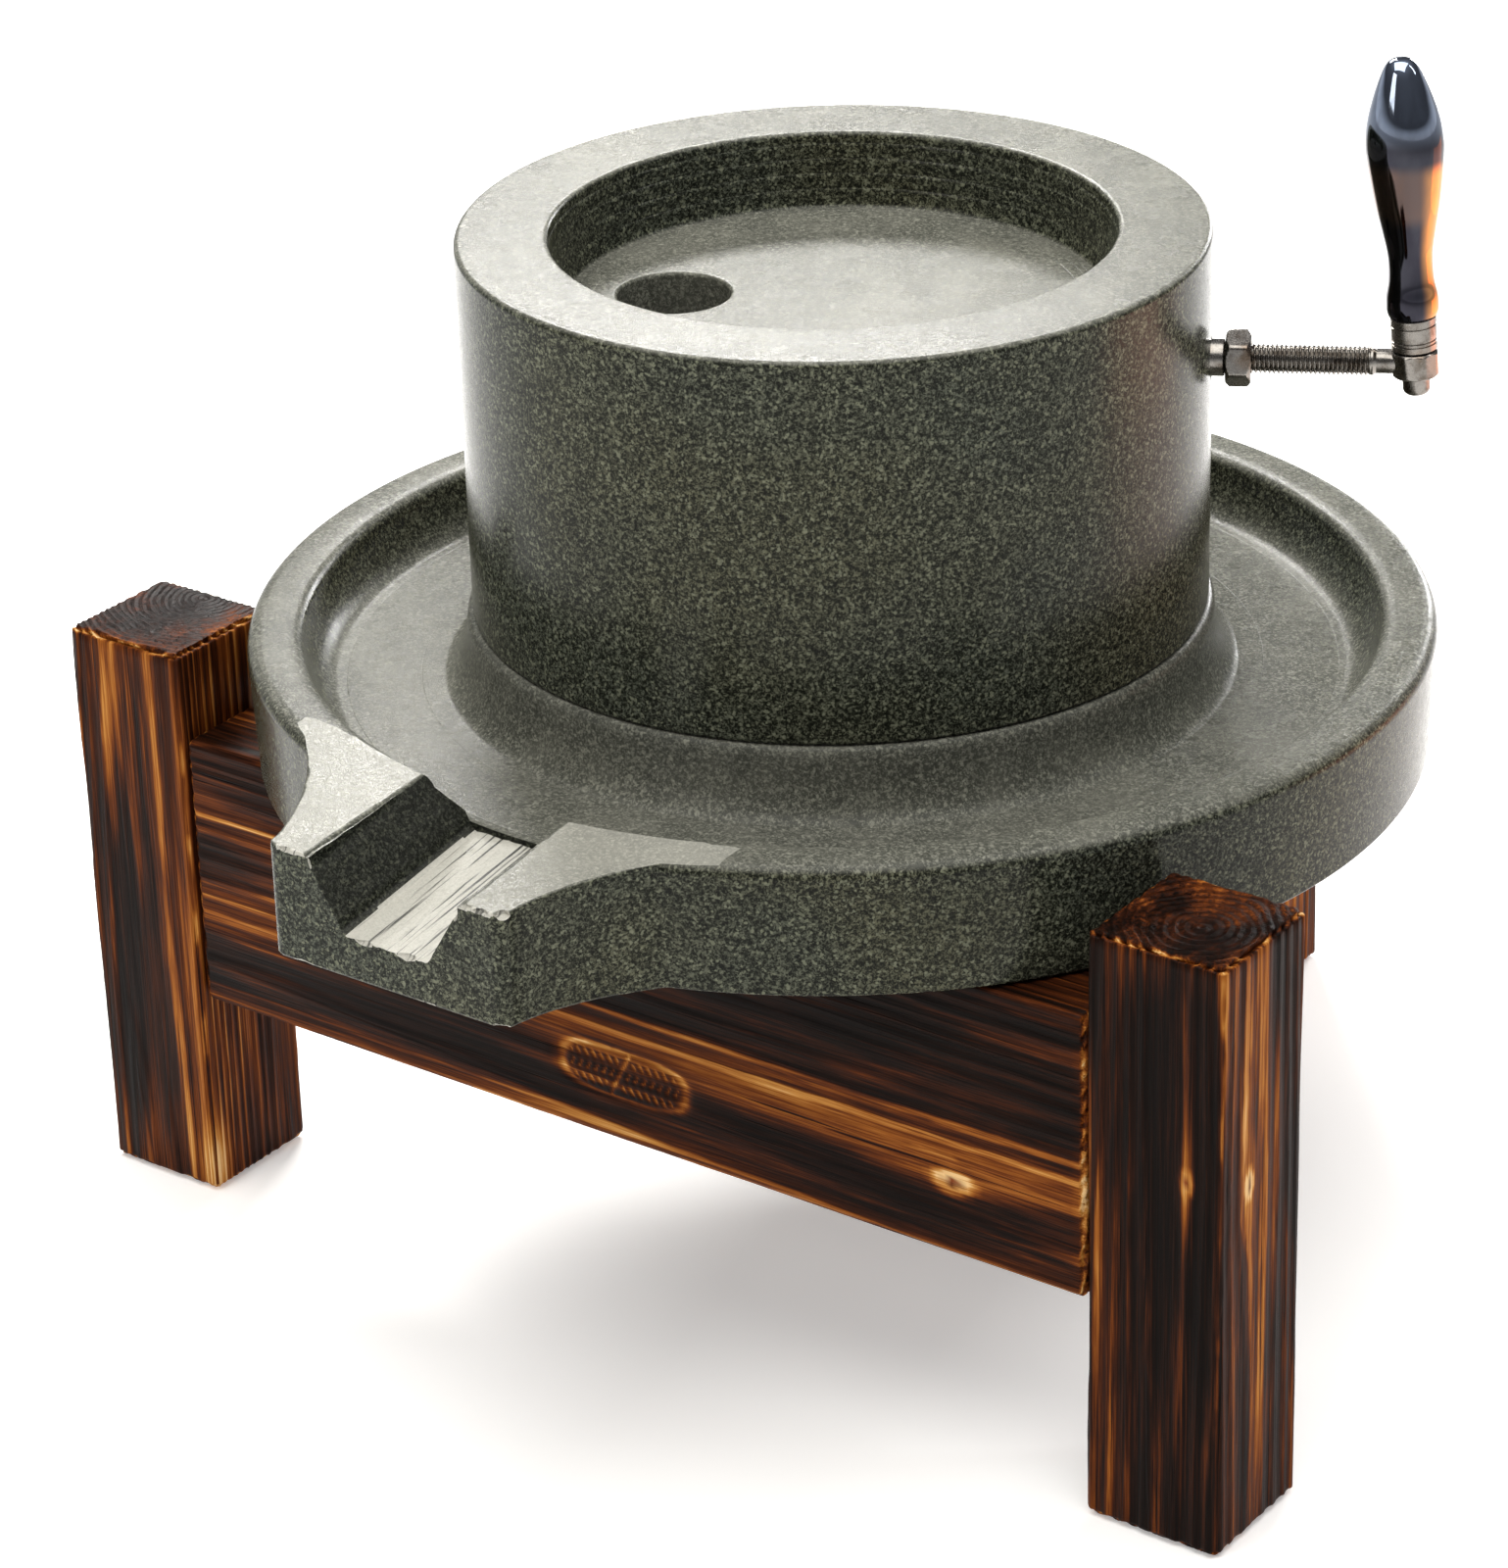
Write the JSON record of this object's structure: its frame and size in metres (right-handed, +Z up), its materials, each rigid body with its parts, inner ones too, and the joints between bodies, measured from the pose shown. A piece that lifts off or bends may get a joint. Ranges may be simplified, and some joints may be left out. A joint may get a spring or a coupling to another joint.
{
  "type": "rotary quern",
  "caption": "Household rotary quern: granite runner with a sunk hopper on a spouted tray stone, cranked by hand, on a charred-wood stand.",
  "frame": {"origin": "on the floor, on the stones' common axis, which is the middle of the mill's box", "axes": "+Z up along the stones' axis, -Y out of the spout, +X to the right leg seen from the spout"},
  "size_m": [0.4694, 0.477, 0.4221],
  "materials": {
    "granite": "dark green-grey speckled granite, polished sides and honed light tops",
    "charred_wood": "flame-charred softwood, brushed, with dark and orange grain",
    "steel": "plain turned steel",
    "chrome": "mirror chrome plate"
  },
  "bodies": {
    "stand_and_lower_stone": {"lower_stone": "granite", "front_leg_left": "charred_wood", "front_leg_right": "charred_wood", "back_leg": "charred_wood", "front_beam": "charred_wood", "middle_beam": "charred_wood"},
    "runner": {"runner_stone": "granite", "crank_sleeve": "steel", "crank_nut": "steel", "crank_arm": "steel", "handle_spindle": "steel"},
    "grip": {"handle_grip": "chrome"}
  },
  "joints": [
    {"name": "runner_turn", "type": "hinge", "parent": "stand_and_lower_stone", "child": "runner", "pos_m": [0, 0, 0.288], "axis": [0, 0, 1], "continuous": true},
    {"name": "grip_spin", "type": "hinge", "parent": "runner", "child": "grip", "pos_m": [0.16847, 0.09147, 0.3183], "axis": [-0.0644, -0.0349, 0.9973], "continuous": true}
  ]
}
